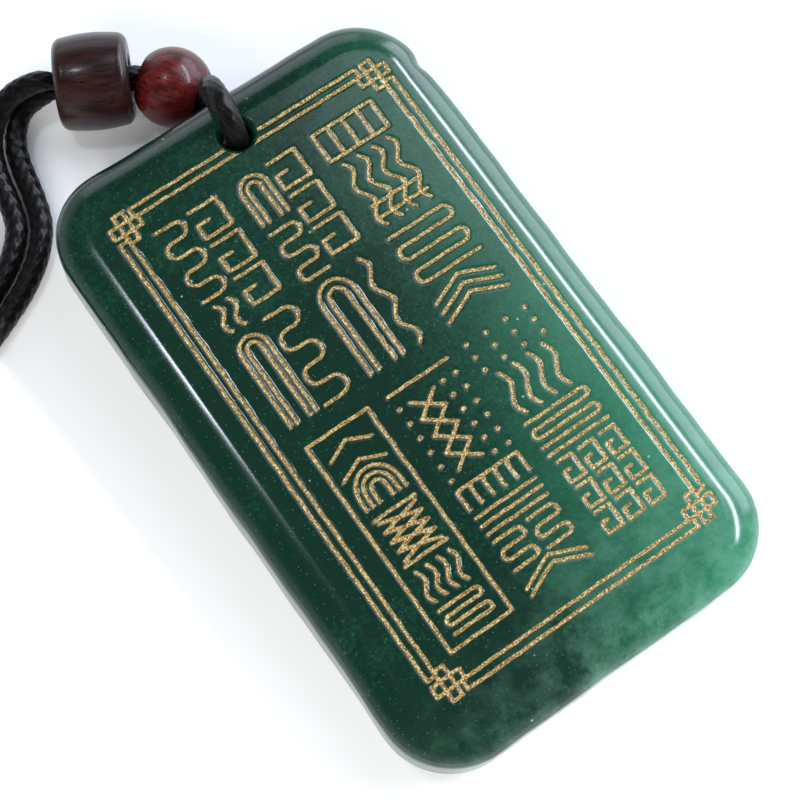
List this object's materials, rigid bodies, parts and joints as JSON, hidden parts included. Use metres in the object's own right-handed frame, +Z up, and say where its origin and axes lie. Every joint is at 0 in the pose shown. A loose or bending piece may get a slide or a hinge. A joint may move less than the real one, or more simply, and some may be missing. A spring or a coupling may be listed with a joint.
{
  "type": "aventurine pendant",
  "caption": "Rounded stone tablet pendant with a gilded engraved face, a drilled hole, a doubled braided cord and wooden beads.",
  "frame": {"origin": "middle of the tablet's box on the surface that the pendant lies on", "axes": "+Z up out of the engraved face, +Y towards the end with the hole, +X to the right as the face is read"},
  "size_m": [0.0744, 0.0805, 0.0117],
  "materials": {
    "aventurine": "polished green stone, grooves of the engraving filled with gold paint",
    "red_wood": "turned and polished dark red hardwood",
    "dark_wood": "turned and polished dark brown hardwood",
    "cord": "black round braid",
    "tie": "black flat woven band"
  },
  "bodies": {
    "root": {"tablet": "aventurine", "round_bead": "red_wood", "barrel_bead": "dark_wood", "front_strand": "cord", "back_strand": "cord", "front_tail": "cord", "back_tail": "cord", "cord_coil": "cord", "coil_tie": "tie", "end_knot": "cord"}
  },
  "joints": []
}
